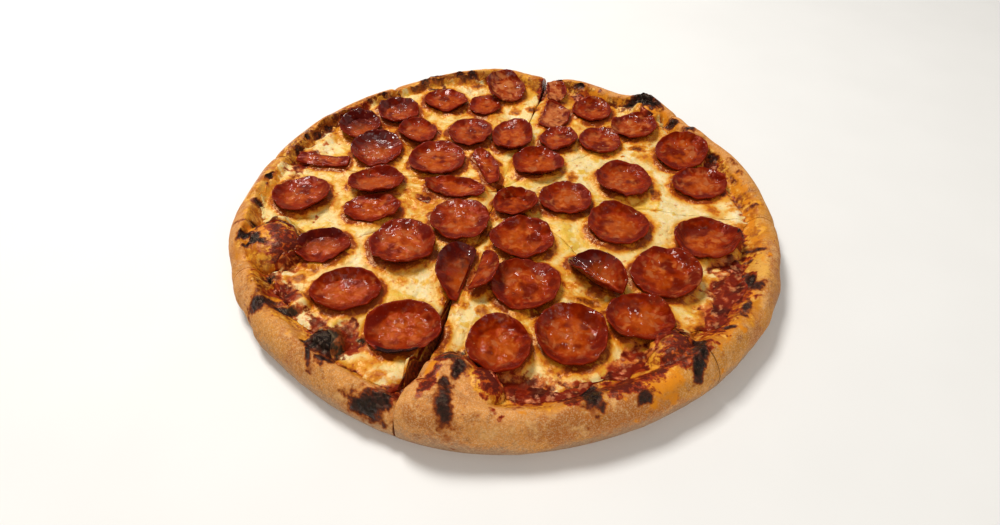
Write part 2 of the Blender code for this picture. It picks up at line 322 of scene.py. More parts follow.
def swell(angles, swells, slice_number):
    """The sum of the rises and dips at these angles, in radians, on this slice."""
    total = np.zeros_like(angles)
    for centre, size, half_width, *only in swells:
        if only and slice_number not in only:
            continue
        away = (np.degrees(angles) - centre + 180) % 360 - 180
        total += size * np.exp(-((away / half_width) ** 2))
    return total


def edge_distance(angle, slice_number):
    """How far the edge is from where the cuts cross, and its direction from the pizza's middle."""
    heading = np.stack((np.cos(angle), np.sin(angle)), axis=-1)
    along = heading @ CUT_CENTRE
    across = CUT_CENTRE @ CUT_CENTRE - along**2
    around = angle
    # The edge's swells depend on the direction that is sought, which settles in a few rounds
    for _ in range(5):
        radius = PIZZA_RADIUS + swell(around, EDGE_SWELLS, slice_number)
        distance = np.sqrt(radius**2 - across) - along
        point = CUT_CENTRE + heading * distance[..., None]
        around = np.arctan2(point[..., 1], point[..., 0])
    return distance, around


def noise(x, y, size, seed, octaves=2):
    """Soft random relief between about -1 and 1, whose features are this many millimetres across."""
    table = np.random.default_rng(seed).uniform(-1, 1, (64, 64))
    total = 0.0
    for octave in range(octaves):
        turn = seed + 1.1 * octave
        u = (x * math.cos(turn) - y * math.sin(turn)) / size * 2**octave + 7.7 * octave
        v = (x * math.sin(turn) + y * math.cos(turn)) / size * 2**octave
        i, j = np.floor(u).astype(int), np.floor(v).astype(int)
        f, g = smooth(u - i), smooth(v - j)
        near = table[i % 64, j % 64] * (1 - f) + table[(i + 1) % 64, j % 64] * f
        far = table[i % 64, (j + 1) % 64] * (1 - f) + table[(i + 1) % 64, (j + 1) % 64] * f
        total = total + (near * (1 - g) + far * g) / 2**octave
    return total


def smooth(share):
    share = np.clip(share, 0, 1)
    return share * share * (3 - 2 * share)


def spots(x, y, table, ragged=0.5, seed=5):
    """How deep each point lies in the nearest spot: 1 well inside it, 0.5 near its edge, 0 outside."""
    wander = 1 + ragged * noise(x, y, 4.5, seed, 3)
    deepest = np.zeros(np.shape(x))
    for at_x, at_y, length, width, turn, *strength in table:
        along, across = direction(turn), direction(turn + 90)
        run = ((x - at_x) * along[0] + (y - at_y) * along[1]) / (length / 2)
        side = ((x - at_x) * across[0] + (y - at_y) * across[1]) / (width / 2)
        inside = np.clip(1.5 - np.hypot(run, side) * wander, 0, 1)
        deepest = np.maximum(deepest, inside * (strength[0] if strength else 1))
    return deepest


def blisters(x, y, char):
    """How far small blisters stand out where the dough is burnt."""
    total = np.zeros_like(x)
    burnt = char > 0.05
    draw = np.random.default_rng(33)
    for at_x, at_y, length, width, turn, *_ in CHARS:
        for _ in range(int(length * width / 7) + 1):
            reach, angle = draw.uniform(0, 0.5), draw.uniform(0, 2 * math.pi)
            off = direction(turn) * math.cos(angle) * length * reach
            off = off + direction(turn + 90) * math.sin(angle) * width * reach
            radius, rise = draw.uniform(1.3, 2.6), draw.uniform(0.5, 1.2)
            away = ((x[burnt] - at_x - off[0]) ** 2 + (y[burnt] - at_y - off[1]) ** 2) / radius**2
            total[burnt] = np.maximum(total[burnt], rise * np.sqrt(np.clip(1 - away, 0, 1)))
    return total


def bubble_rise(x, y):
    total = 0
    for at_x, at_y, radius, rise in BUBBLES:
        total = total + rise * np.exp(-((x - at_x) ** 2 + (y - at_y) ** 2) / radius**2 * 1.6)
    return total


def cut_shift(cut, side, out, up):
    """How far one side of a cut stands over it: closed at the base, and torn or gaping above."""
    total = HAIRLINE_CLOSING + ROUGH_CUT * noise(out, up, 3.5, 20 + 2 * cut + side)
    for number, which, size, at, half_length in CUT_BULGES:
        if (number, which) == (cut, side):
            total = total + size * np.exp(-(((out - at) / half_length) ** 2))
    neighbour = cut if side == 0 else (cut - 1) % 8
    low, high = slice_span(neighbour)
    half_gap = SLICE_NUDGE * math.sin(math.radians((high - low) / 2))
    half_gap = half_gap + out * math.radians(CUT_OPENINGS[cut]) / 2
    shut = 1 - smooth((up - 1) / CUT_SHUT_HEIGHTS[cut])
    return total + (half_gap - BASE_GAP - total) * shut


def slice_span(i):
    """The directions of a slice's two sides, in degrees."""
    high = CUT_ANGLES[i + 1] if i < 7 else CUT_ANGLES[0] + 360
    return CUT_ANGLES[i] + CUT_OPENINGS[i] / 2, high - CUT_OPENINGS[(i + 1) % 8] / 2


def place(i, share, out, up):
    """x and y of points of a slice: share of the way across it, and out from its tip."""
    low, high = slice_span(i)
    angle = np.radians(low + (high - low) * share)
    angle = angle - cut_shift(i, 0, out, up) / out * (1 - share) ** 6
    angle = angle + cut_shift((i + 1) % 8, 1, out, up) / out * share**6
    tip = CUT_CENTRE + direction((low + high) / 2) * SLICE_NUDGE
    return tip[0] + np.cos(angle) * out, tip[1] + np.sin(angle) * out


def new_piece(name, points, faces, masks, material):
    """A smooth mesh piece from points in millimetres; masks are named numbers at its points."""
    data = bpy.data.meshes.new(name)
    data.from_pydata((np.asarray(points) * MM).tolist(), [], faces)
    for mask, values in masks.items():
        layer = data.attributes.new(mask, "FLOAT", "POINT")
        layer.data.foreach_set("value", np.asarray(values, np.float32).ravel())
    data.materials.append(material)
    data.shade_smooth()
    data.set_sharp_from_angle(angle=math.radians(60))
    piece = bpy.data.objects.new(name, data)
    bpy.context.scene.collection.objects.link(piece)
    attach(piece, "root")
    return piece


def block_skin(x, y, z, masks, step=4):
    """A closed skin over a block of points, indexed across, outwards and upwards; coarse underneath."""
    across, outwards = x.shape[0] - 1, x.shape[1] - 1
    index = np.arange(x.size).reshape(x.shape)

    def quads(grid):
        corners = (grid[:-1, :-1], grid[1:, :-1], grid[1:, 1:], grid[:-1, 1:])
        return np.stack([corner.ravel() for corner in corners], axis=-1)

    sides = (
        quads(index[:, :, -1].T),
        quads(index[0]),
        quads(index[-1].T),
        quads(index[:, -1]),
        quads(index[:, 0].T),
    )
    faces = np.concatenate(sides).tolist()
    for c in range(0, across, step):
        for r in range(0, outwards, step):
            steps = range(step)
            low_side = [(c + s, r) for s in (steps if r == 0 else steps[:1])]
            far_shade_and_gloss = [(c + step, r + s) for s in (steps if c + step == across else steps[:1])]
            top_side = [(c + step - s, r + step) for s in (steps if r + step == outwards else steps[:1])]
            near_side = [(c, r + step - s) for s in (steps if c == 0 else steps[:1])]
            corners = low_side + far_shade_and_gloss + top_side + near_side
            faces.append([int(index[i, j, 0]) for i, j in corners])
    used = np.unique(np.concatenate([np.asarray(face) for face in faces]))
    renumber = np.zeros(x.size, int)
    renumber[used] = np.arange(len(used))
    faces = [[int(renumber[corner]) for corner in face] for face in faces]
    points = np.stack((x.ravel(), y.ravel(), z.ravel()), axis=-1)[used]
    masks = {name: np.broadcast_to(mask, x.shape).ravel()[used] for name, mask in masks.items()}
    return points, faces, masks


def lumps(x, y, seed, waves=6, wave_length=30):
    """Soft relief between about -1 and 1: a few waves in seeded directions."""
    draw = np.random.default_rng(seed)
    total = 0
    for _ in range(waves):
        heading, phase = draw.uniform(0, 2 * np.pi, 2)
        length = wave_length * draw.uniform(0.7, 1.5)
        along = x * np.cos(heading) + y * np.sin(heading)
        total = total + np.cos(along * 2 * np.pi / length + phase)
    return total / (waves / 2)


def bread_rows(i):
    """A slice's bread from tip to foot: for each column, distances out and heights, and the masks."""
    low, high = slice_span(i)
    share = np.linspace(0, 1, COLUMNS + 1)[:, None]
    distance, around = edge_distance(np.radians(low + (high - low) * share), i + 1)
    height = CRUST_HEIGHT + swell(around, CRUST_HEIGHT_SWELLS, i + 1)
    width = CRUST_WIDTH + swell(around, CRUST_WIDTH_SWELLS, i + 1)
    edge = distance - width
    hidden = 1 - (1 - np.linspace(0, 1, HIDDEN_RINGS + 1)[None, :-1]) ** 1.8
    slope = np.linspace(1, 0, SLOPE_RINGS + 1)[None, :-1]
    turn = np.linspace(np.pi / 2, math.asin(-BULGE_AT / (1 - BULGE_AT)) + 0.05, OUTER_RINGS + 1)[None]
    out = np.concatenate(
        (
            TIP_RADIUS + (edge - TIP_RADIUS) * hidden,
            distance - SHOULDER - (width - SHOULDER) * slope,
            distance - SHOULDER * (1 - np.cos(turn)),
        ),
        axis=1,
    )
    rim = np.concatenate(
        (
            CHEESE_EDGE_HEIGHT + (height - CHEESE_EDGE_HEIGHT) * (1 + np.cos(np.pi * slope)) / 2,
            height * (BULGE_AT + (1 - BULGE_AT) * np.sin(turn)),
        ),
        axis=1,
    )
    x, y = place(i, share, out, 0 * out)
    inside = edge - out[:, :HIDDEN_RINGS]
    x0, y0 = x[:, :HIDDEN_RINGS], y[:, :HIDDEN_RINGS]
    level = 1 - np.exp(-inside / CRUST_RUN_OUT)
    floor = BASE_THICKNESS + 5 * np.exp(-((inside / CRUST_RUN_OUT) ** 2))
    floor = floor + 0.28 * lumps(x0, y0, 3) * level + bubble_rise(x0, y0)
    raised = bubble_rise(x[:, HIDDEN_RINGS:], y[:, HIDDEN_RINGS:])
    rim = rim + raised * np.clip(rim / height * 1.6 - 0.6, 0, 1)
    up = np.concatenate((floor, rim), axis=1)
    for at_x, at_y, radius, foot, rise in DOMES:
        away = np.hypot(x - at_x, y - at_y) * (1 + 0.12 * noise(x, y, 8, 18))
        dome = foot + rise * np.sqrt(np.clip(1 - (away / radius) ** 2, 0, 1))
        covered = (away < radius) & (np.arange(up.shape[1]) < CREST + OUTER_RINGS // 2)
        up = np.where(covered, np.maximum(up, dome), up)

    # Uneven dough: soft folds, small blisters, and the top edge pressed down beside each cut
    rings = out.shape[1]
    past = np.arange(rings)[None] - HIDDEN_RINGS
    shown = smooth(past / 6) * smooth((rings - 1 - past - HIDDEN_RINGS) / 8)
    run = around * PIZZA_RADIUS
    strides = [np.diff(rows, axis=1, prepend=rows[:, :1]) for rows in (out, up)]
    arc = np.cumsum(np.hypot(*strides), axis=1)
    arc = arc - arc[:, [HIDDEN_RINGS]]
    unrolled = np.maximum((arc - arc[:, [CREST]]) - (out - out[:, [CREST]]), 0)
    flat = out + unrolled * (np.arange(rings) > CREST)
    x, y = place(i, share, flat, 0 * out)
    char = spots(x, y, CHARS, 0.35)
    bumps = 0.9 * noise(run, arc, 19, 11) + 0.35 * noise(run, arc, 6, 12)
    bumps = bumps + 0.4 * char * noise(run, arc, 2.6, 13) + blisters(x, y, char)
    steep = np.gradient(out, axis=1), np.gradient(up, axis=1)
    length = np.hypot(*steep) + 1e-9
    out = out + steep[1] / length * bumps * shown
    up = up + steep[0] / length * bumps * shown
    side = np.minimum(share, 1 - share) * np.radians(high - low) * distance
    pressed = sum(depth * np.exp(-((side / wide) ** 2)) for depth, wide in CUT_PRESSES)
    up = up - pressed * shown * np.clip(up / height, 0, 1)

    inner = np.clip(-past / SLOPE_RINGS + 1, 0, 1)
    outer = np.clip((past - SLOPE_RINGS) / OUTER_RINGS, 0, 1)
    oil = 1.2 * inner + 0.1 - 2 * outer + swell(around, OILY, i + 1) + 0.4 * noise(run, arc, 9, 14)
    browned = swell(around, BROWNED, i + 1) + 0.35 * noise(run, arc, 14, 17)
    cheesy = swell(around, CHEESY, i + 1) + 0.5 * noise(run, arc, 8, 21)
    golden = swell(around, GOLDEN, i + 1) + 0.3 * noise(run, arc, 25, 16)
    masks = {
        "char": char,
        "sauce": spots(x, y, SAUCE_SPOTS, 0.5, 8) * smooth(1 - outer * 3),
        "oil": np.clip(oil, 0, 1),
        "foot": smooth(outer * 1.6 - 0.55 + 0.15 * noise(run, arc, 12, 15)),
        "browned": np.clip(browned, 0, 1),
        "fried": spots(x, y, FRIED, 0.6, 19),
        "cheesy": np.clip(cheesy, 0, 1) * (1 - smooth(outer * 5)),
        "golden": np.clip(golden, 0, 1),
    }
    return share, out, up, edge, masks


def add(tree, kind, inputs=None, gives=0, **settings):
    """One shader node's output, with values or links for its input sockets and its own settings."""
    made = tree.nodes.new("ShaderNode" + kind)
    for name, value in settings.items():
        setattr(made, name, value)
    for name, value in (inputs or {}).items():
        if isinstance(value, bpy.types.NodeSocket):
            tree.links.new(value, made.inputs[name])
        else:
            made.inputs[name].default_value = value
    return made.outputs[gives]


def linear(hex_colour):
    channels = [int(hex_colour[i : i + 2], 16) / 255 for i in (0, 2, 4)]
    return (*[c / 12.92 if c <= 0.04045 else ((c + 0.055) / 1.055) ** 2.4 for c in channels], 1)


def new_material(name):
    made = bpy.data.materials.new(name)
    made.use_nodes = True
    tree = made.node_tree
    return made, tree, tree.nodes["Principled BSDF"], add(tree, "TexCoord", gives="Object")


def patchy(tree, source, low, high, grain=None, amount=0.0):
    """0 to 1 as a number passes from low to high, its border broken up by a finer pattern."""
    if grain is not None:
        wave = add(tree, "Math", {0: grain, 1: 0.5}, operation="SUBTRACT")
        source = add(tree, "Math", {0: wave, 1: amount, 2: source}, operation="MULTIPLY_ADD")
    ends = {"Value": source, "From Min": low, "From Max": high}
    return add(tree, "MapRange", ends, interpolation_type="SMOOTHSTEP")


def painted(tree, base, layers):
    """A base colour with others laid over it, each by its mask, which a third item may weaken."""
    colour = linear(base)
    for hex_colour, mask, *strength in layers:
        if strength:
            mask = add(tree, "Math", {0: mask, 1: strength[0]}, operation="MULTIPLY")
        colour = add(tree, "Mix", {0: mask, 6: colour, 7: linear(hex_colour)}, gives=2, data_type="RGBA")
    return colour


# Baked wheat crust: dry golden tan with flour dust, oiled and mottled by the topping on its inner
# slope, dark red-brown where it is singed and dull purple-black where it is burnt. In this and all
# other materials a pattern's scale is 1000 over the size of its features in millimetres.
crust, tree, shader, at = new_material("baked_wheat_crust")
MASKS = ("char", "sauce", "oil", "foot", "golden", "browned", "fried", "cheesy", "crumb")
named = {name: add(tree, "Attribute", gives="Fac", attribute_name=name) for name in MASKS}
broad = add(tree, "TexNoise", {"Vector": at, "Scale": 1000 / 26, "Detail": 2})
mottle = add(tree, "TexNoise", {"Vector": at, "Scale": 1000 / 9, "Detail": 6, "Roughness": 0.62})
blister = add(tree, "TexNoise", {"Vector": at, "Scale": 1000 / 4, "Detail": 5, "Roughness": 0.6})
grain = add(tree, "TexNoise", {"Vector": at, "Scale": 1000 / 1.3, "Detail": 3, "Roughness": 0.7})
lumpy = add(tree, "TexNoise", {"Vector": at, "Scale": 1000 / 2.4, "Detail": 6, "Roughness": 0.68})
flour = add(tree, "TexNoise", {"Vector": at, "Scale": 1000 / 0.6, "Detail": 2})
cells = add(tree, "TexVoronoi", {"Vector": at, "Scale": 1000 / 3, "Smoothness": 0.3}, feature="SMOOTH_F1")
beads = add(tree, "Math", {0: cells, 1: named["char"]}, operation="MULTIPLY")
dusted = add(tree, "MapRange", {"Value": flour, "From Min": 0.45, "From Max": 0.7, "To Max": 0.45})
specked = add(tree, "MapRange", {"Value": grain, "From Min": 0.46, "From Max": 0.72, "To Max": 0.42})
singed = patchy(tree, named["char"], 0.05, 0.5, lumpy, 1.6)
burnt = patchy(tree, named["char"], 0.48, 0.85, lumpy, 1.6)
sauced = patchy(tree, named["sauce"], 0.25, 0.6, lumpy, 2.4)
oily = patchy(tree, named["oil"], 0.3, 0.75, mottle, 1.6)
scorched = add(tree, "Math", {0: named["oil"], 1: named["browned"]}, operation="MULTIPLY")
baked = patchy(tree, scorched, 0.3, 0.85, lumpy, 2.4)
colour = painted(
    tree,
    "D99048",
    (
        ("D0882E", named["golden"]),
        ("B86A28", patchy(tree, broad, 0.46, 0.62, mottle, 1.2)),
        ("E4AB66", patchy(tree, mottle, 0.52, 0.68)),
        ("9C5A26", patchy(tree, mottle, 0.45, 0.28)),
        ("A98466", patchy(tree, named["foot"], 0.15, 0.8, grain, 1.2)),
        ("F0D0A0", dusted),
        ("8C5A2A", specked),
        ("CA7C18", oily),
        ("E29A2C", patchy(tree, named["oil"], 0.8, 1.0, mottle, 3.4)),
        ("A85416", patchy(tree, named["oil"], 0.8, 1.2, lumpy, 3.0)),
        ("E6AC4C", patchy(tree, named["cheesy"], 0.2, 1.0, lumpy, 2.4), 0.8),
        ("9A480F", baked),
        ("5A1E0A", patchy(tree, scorched, 0.6, 0.95, lumpy, 2.6)),
        ("DE8618", patchy(tree, named["fried"], 0.15, 1.0, mottle, 2.2)),
        ("B4600F", patchy(tree, mottle, 0.5, 0.36), oily),
        ("F0B450", patchy(tree, blister, 0.54, 0.68), oily),
        ("9E4E18", singed),
        ("962E0E", sauced),
        ("B8500F", patchy(tree, named["sauce"], 0.9, 1.2, blister, 4.0)),
        ("58140A", patchy(tree, named["sauce"], 0.6, 0.95, lumpy, 3.0)),
        ("6A2812", patchy(tree, named["char"], 0.3, 0.65, lumpy, 1.7)),
        ("321815", burnt),
        ("140E0E", patchy(tree, named["char"], 0.85, 1.15, lumpy, 2.0)),
        ("E0BE88", named["crumb"]),
    ),
)
tree.links.new(colour, shader.inputs["Base Color"])
wet = add(tree, "Math", {0: oily, 1: sauced}, operation="MAXIMUM")
wet = add(tree, "Math", {0: wet, 1: burnt}, operation="MAXIMUM")
rough = add(tree, "MapRange", {"Value": wet, "To Min": 0.8, "To Max": 0.32})
tree.links.new(rough, shader.inputs["Roughness"])
shader.inputs["Specular IOR Level"].default_value = 0.35
shader.inputs["Specular Tint"].default_value = linear("F2C8A0")
coarse = add(tree, "Bump", {"Height": blister, "Strength": 0.7, "Distance": 0.9 * MM})
rugged = add(tree, "MapRange", {"Value": named["char"], "To Min": 0.15, "To Max": 0.6})
crisp = add(tree, "Bump", {"Height": lumpy, "Strength": rugged, "Distance": 1.1 * MM, "Normal": coarse})
sockets = {"Height": beads, "Strength": 1.0, "Distance": 1.6 * MM, "Normal": crisp}
beaded = add(tree, "Bump", sockets, invert=True)
fine = add(tree, "Bump", {"Height": grain, "Strength": 0.5, "Distance": 0.25 * MM, "Normal": beaded})
tree.links.new(fine, shader.inputs["Normal"])

breads = []
for i in range(8):
    share, out, up, edge, masks = bread_rows(i)
    breads.append((share, out, up, edge))
    rings = out.shape[1]
    reach = np.arange(rings)[None] - HIDDEN_RINGS
    foot = edge + (out[:, -1:] - edge) * np.clip(reach / (rings - 1 - HIDDEN_RINGS), 0, 1)
    below = np.where(reach < 0, out, foot)
    layer = np.linspace(0, 1, BREAD_LAYERS + 1)
    block_out = below[..., None] + (out - below)[..., None] * layer
    block_up = up[..., None] * layer
    x, y = place(i, share[..., None], block_out, block_up)
    masks = {name: np.repeat(mask[..., None], BREAD_LAYERS + 1, axis=2) for name, mask in masks.items()}
    # The walls of the cuts show pale crumb; where the front one gapes or the back one baked shut they
    # show red sauce with painted shade, and painted dark shade in the narrow back slit
    masks["crumb"] = np.zeros_like(x)
    inside = smooth((1 - layer) * 8)[None] * (reach[0, :, None] < SLOPE_RINGS + OUTER_RINGS * 0.8)
    for column, cut in ((0, i), (-1, (i + 1) % 8)):
        sauce_and_shade_wall = cut in (BAKED_SHUT_CUT, GAPING_CUT)
        masks["crumb"][column] = 0.85 * inside * (0.05 if sauce_and_shade_wall else 1)
        back_slit_shade = inside * (0.45 if cut == BAKED_SHUT_CUT else 0)
        masks["char"][column] = np.maximum(masks["char"][column], back_slit_shade)
        masks["sauce"][column] = np.maximum(masks["sauce"][column], inside * (0.68 if sauce_and_shade_wall else 0))
    points, faces, masks = block_skin(x, y, block_up, masks, step=2)
    piece = new_piece(f"bread_{i + 1}", points, faces, masks, crust)
    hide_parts(f"crust_{i + 1}")


# Cured sausage: 44 thin slices of spicy red sausage, curled up into cups by the oven and shining with
# their own fat. Each is an oval sheet, cut, folded or stood up as its neighbours made it, laid where
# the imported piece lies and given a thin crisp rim.

SAUSAGE_THICKNESS = 1.8
RIM_THICKNESS = 0.9
CUP_HEIGHT = 3.4
FOLD_RADIUS = 4.0
PACKED_SIDES = 14
PACKED_SHARES = (0.62, 1.0)
# The mesh's rings, as shares of the oval: outwards under the slice, twice round its rim, and back in
SIDES = 84
UNDER_SHARES = (0.3, 0.6, 0.8, 0.92, 0.985)
TOP_SHARES = (0.99, 0.965, 0.93, 0.89, 0.84, 0.78, 0.71, 0.63, 0.54, 0.45, 0.36, 0.27, 0.18, 0.09)
# Even rings that give the outward direction at any share: the first, the span they cover, how many
EVEN_FROM, EVEN_SPAN, EVEN_RINGS = 0.2, 0.82, 40
# In the imported pieces' order: (width, depth, and what is special about it). "turn" turns the oval,
# "cup" is the height of the curled rim, "cuts" are straight edges (direction, distance from the
# middle), "fold" is a crease (direction, rise of each side), "lean" is a standing piece (direction
# of the raised side, angle), "burnt" is a blackened stretch of the rim (direction, half-width,
# strength), and "pale", "dark" and "shine" are its looks. "dark" is painted shade over the slice's
# far side up to 1, and a darker tone all over past 1.
SAUSAGE = (
    # on slice 1
    (32, 31, {"shine": 0.6}),
    (34, 34, {}),
    (32, 27, {"cup": 2.5, "pale": 0.3}),
    (30, 29, {"cup": 3.0, "pale": 0.2}),
    # on slice 2
    (17, 24, {"cuts": ((180, 5),), "cup": 2.0, "pale": 1.1}),
    (25, 29, {"cuts": ((165, 6),), "cup": 2.5, "pale": 1.2}),
    (27, 26, {"pale": 0.3}),
    (29, 26, {"pale": 0.5}),
    (25, 26, {"cup": 3.0}),
    (27, 29, {"cup": 2.5, "pale": 0.3}),
    (32, 29, {}),
    # on slice 3
    (21, 27, {"cup": 1.5}),
    (30, 27, {}),
    (28, 31, {"pale": 0.8, "shine": 1}),
    (29, 33, {}),
    (26, 37, {}),
    (15, 34, {"turn": 15, "cuts": ((200, 4),), "cup": 2.0}),
    # on slice 4
    (28, 28, {"dark": 1.0, "shine": 1}),
    (27, 30, {"dark": 1.3, "shine": 1}),
    (25, 30, {"dark": 0.5, "shine": 0.5}),
    (32, 33, {"dark": 1.1, "shine": 1}),
    (35, 35, {}),
    (33, 24, {"cuts": ((262, 5), (82, 5)), "cup": 2.0, "dark": 0.5}),
    # on slice 5
    (32, 33, {}),
    (32, 24, {"cup": 1.8, "pale": 0.1}),
    (33, 28, {"cup": 3.0, "dark": 0.4}),
    (37, 18, {"turn": -12, "cup": 3.0, "dark": 0.3}),
    (29, 24, {"turn": 12, "cup": 3.0, "dark": 1.1, "shine": 0.3}),
    # on slice 6
    (33, 35, {"dark": 0.2}),
    (35, 36, {}),
    (36, 26, {"cup": 3.0, "dark": 0.2}),
    (36, 32, {"dark": 0.3, "shine": 0.2, "burnt": (-97, 40, 1)}),
    (28, 38, {"cuts": ((-15, 3),), "lean": (165, 42), "cup": 2.0, "dark": 1.15, "shine": 0.8}),
    # on slice 7
    (35, 34, {"dark": 0.3}),
    (34, 31, {"dark": 0.1}),
    (22, 28, {"cuts": ((165, 2),), "lean": (-15, 45), "cup": 1.5}),
    (30, 32, {"dark": 0.1}),
    (35, 35, {"shine": 0.6}),
    (33, 29, {}),
    (26, 25, {"cup": 4.0}),
    (37, 29, {"turn": -53, "fold": (-53, 38), "cup": 1.5, "dark": 1.1, "shine": 1}),
    # on slice 8
    (34, 33, {}),
    (36, 32, {"cup": 4.0, "dark": 0.3, "burnt": (-4, 24, 0.55)}),
    (34, 35, {"pale": 0.1}),
)


def sausage_sheet(shares, sides, width, depth, turn=0, cup=CUP_HEIGHT, cuts=(), fold=None, lean=None,
                  burnt=None, seed=0, **_):
    """Rings of points on the underside of a sausage slice, from the inside out: [ring, side, xyz]."""
    around = np.linspace(0, 2 * np.pi, sides, endpoint=False)
    oval = np.stack((np.cos(around) * width / 2, np.sin(around) * depth / 2), axis=-1)
    oval = oval @ np.array((direction(turn), direction(turn + 90)))
    reach = np.ones(sides)
    for heading, far in cuts:
        out = oval @ direction(heading)
        reach = np.where(out > far, np.minimum(reach, far / np.maximum(out, far)), reach)
    share = np.asarray(shares)[:, None] * reach
    height = cup * share**4
    if seed:
        ring_x, ring_y = np.cos(around) * 10, np.sin(around) * 10
        curl = 1.2 + 0.6 * noise(ring_x, ring_y, 9, seed + 100)
        if burnt:
            curl = curl + swell(around, ((burnt[0], 0.45, burnt[1]),), None)
        height = cup * curl * smooth((share / reach - 0.62) / 0.42) * reach**2
        height = height + 0.8 * noise(ring_x * 1.6, ring_y * 1.6, 3.4, seed + 200) * share**5
        wander = 0.035 * noise(ring_x, ring_y, 9, seed) + 0.02 * noise(ring_x, ring_y, 2.2, seed + 300)
        share = share * (1 + wander * share**4)
    points = np.stack((oval[:, 0] * share, oval[:, 1] * share, height), axis=-1)
    if fold:
        heading, rise = fold
        run = points[..., :2] @ direction(heading)
        side = points[..., :2] @ direction(heading + 90)
        bend = np.minimum(np.abs(side) / FOLD_RADIUS, math.radians(rise))
        rest = np.abs(side) - bend * FOLD_RADIUS
        radius = FOLD_RADIUS - points[..., 2]
        out = np.sign(side) * (radius * np.sin(bend) + rest * np.cos(bend))
        flat = run[..., None] * direction(heading) + out[..., None] * direction(heading + 90)
        points = np.dstack((flat, FOLD_RADIUS - radius * np.cos(bend) + rest * np.sin(bend)))
    if lean:
        heading, rise = lean
        run = points[..., :2] @ direction(heading)
        side = points[..., :2] @ direction(heading + 90)
        up = points[..., 2]
        c, s = math.cos(math.radians(rise)), math.sin(math.radians(rise))
        out = run * c - up * s
        flat = out[..., None] * direction(heading) + side[..., None] * direction(heading + 90)
        points = np.dstack((flat, run * s + up * c))
    return points


def pose_of(node, sheet):
    """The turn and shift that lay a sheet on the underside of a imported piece, corner to corner."""
    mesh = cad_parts[node].data
    corners = np.zeros(len(mesh.vertices) * 3)
    mesh.vertices.foreach_get("co", corners)
    corners = np.unique(np.round(corners.reshape(-1, 3) / MM, 3), axis=0)
    shift = corners.mean(axis=0) - sheet.mean(axis=0) - (0, 0, SAUSAGE_THICKNESS / 2)
    turn = np.eye(3)
    for _ in range(12):
        placed = sheet @ turn.T + shift
        nearest = corners[np.argmin(np.linalg.norm(placed[:, None] - corners[None], axis=2), axis=1)]
        to, start = nearest.mean(axis=0), sheet.mean(axis=0)
        u, _, v = np.linalg.svd((nearest - to).T @ (sheet - start))
        turn = u @ np.diag((1, 1, np.linalg.det(u @ v))) @ v
        shift = to - turn @ start
    return turn, shift


# Cured spicy sausage: red-brown lean meat with pale fat, darker and crisper at the rim, wet with fat,
# and with painted shade on each slice's far side
meat, tree, shader, at = new_material("cured_spicy_sausage")
MASKS = ("edge", "pool", "pale", "dark", "shine", "burnt")
named = {name: add(tree, "Attribute", gives="Fac", attribute_name=name) for name in MASKS}
broad = add(tree, "TexNoise", {"Vector": at, "Scale": 1000 / 10, "Detail": 2})
hue = add(tree, "TexNoise", {"Vector": at, "Scale": 1000 / 9, "Detail": 4})
minced = add(tree, "TexNoise", {"Vector": at, "Scale": 1000 / 4, "Detail": 5, "Distortion": 0.5})
fat = add(tree, "TexVoronoi", {"Vector": at, "Scale": 1000 / 5.2})
crease = add(tree, "TexNoise", {"Vector": at, "Scale": 1000 / 1.2, "Detail": 3})
fatty = patchy(tree, fat, 0.42, 0.2, minced, 2.0)
fatty = add(tree, "Math", {0: fatty, 1: patchy(tree, broad, 0.47, 0.58)}, operation="MULTIPLY")
colour = painted(
    tree,
    "861F02",
    (
        ("982E03", patchy(tree, minced, 0.42, 0.62)),
        ("B04A08", patchy(tree, named["pool"], 0.1, 1.5, hue, 3.4), 0.75),
        ("C2601A", patchy(tree, named["pool"], 0.9, 1.7, minced, 4.0), 0.55),
        ("681502", patchy(tree, broad, 0.48, 0.34)),
        ("8A3A1E", patchy(tree, hue, 0.52, 0.75), 0.5),
        ("B06438", fatty, 0.6),
        ("C0703C", patchy(tree, named["pale"], 0.2, 1.9, minced, 5.0)),
        ("641003", patchy(tree, named["edge"], 0.7, 1.05, broad, 1.6)),
        ("7E1E05", patchy(tree, named["edge"], 0.96, 1.02, broad, 0.3)),
        # painted shade on each slice's far side, and a darker tone all over the darkest slices
        ("460C09", patchy(tree, named["dark"], 0.25, 1.3, minced, 1.5)),
        ("B06438", patchy(tree, crease, 0.68, 0.78)),
        ("1C1111", patchy(tree, named["burnt"], 0.35, 0.65, minced, 1.2)),
    ),
)
tree.links.new(colour, shader.inputs["Base Color"])
sockets = {"Value": minced, "From Min": 0.35, "From Max": 0.65, "To Min": 0.2, "To Max": 0.4}
rough = add(tree, "MapRange", sockets)
tree.links.new(rough, shader.inputs["Roughness"])
shader.inputs["Specular IOR Level"].default_value = 0.2
shader.inputs["Specular Tint"].default_value = linear("D04A14")
beaded = add(tree, "TexNoise", {"Vector": at, "Scale": 1000 / 6, "Detail": 2})
greasy = add(tree, "Math", {0: named["shine"], 1: patchy(tree, beaded, 0.46, 0.56)}, operation="MULTIPLY")
tree.links.new(greasy, shader.inputs["Coat Weight"])
shader.inputs["Coat Roughness"].default_value = 0.07
coarse = add(tree, "Bump", {"Height": minced, "Strength": 0.75, "Distance": 0.7 * MM})
fine = add(tree, "Bump", {"Height": crease, "Strength": 0.5, "Distance": 0.25 * MM, "Normal": coarse})
tree.links.new(fine, shader.inputs["Normal"])
crinkle = add(tree, "TexNoise", {"Vector": at, "Scale": 1000 / 2.6, "Detail": 1})
film = add(tree, "Bump", {"Height": crinkle, "Strength": 1.0, "Distance": 0.9 * MM})
tree.links.new(film, shader.inputs["Coat Normal"])


def capped(under, rings, top):
    """Numbers at a slice's points: the middle underneath, the rings, and the middle on top."""
    return np.concatenate(((under,), rings.ravel(), (top,)))


shares = np.array((*UNDER_SHARES, 1.0, 1.0, *TOP_SHARES))
share = shares[:, None]
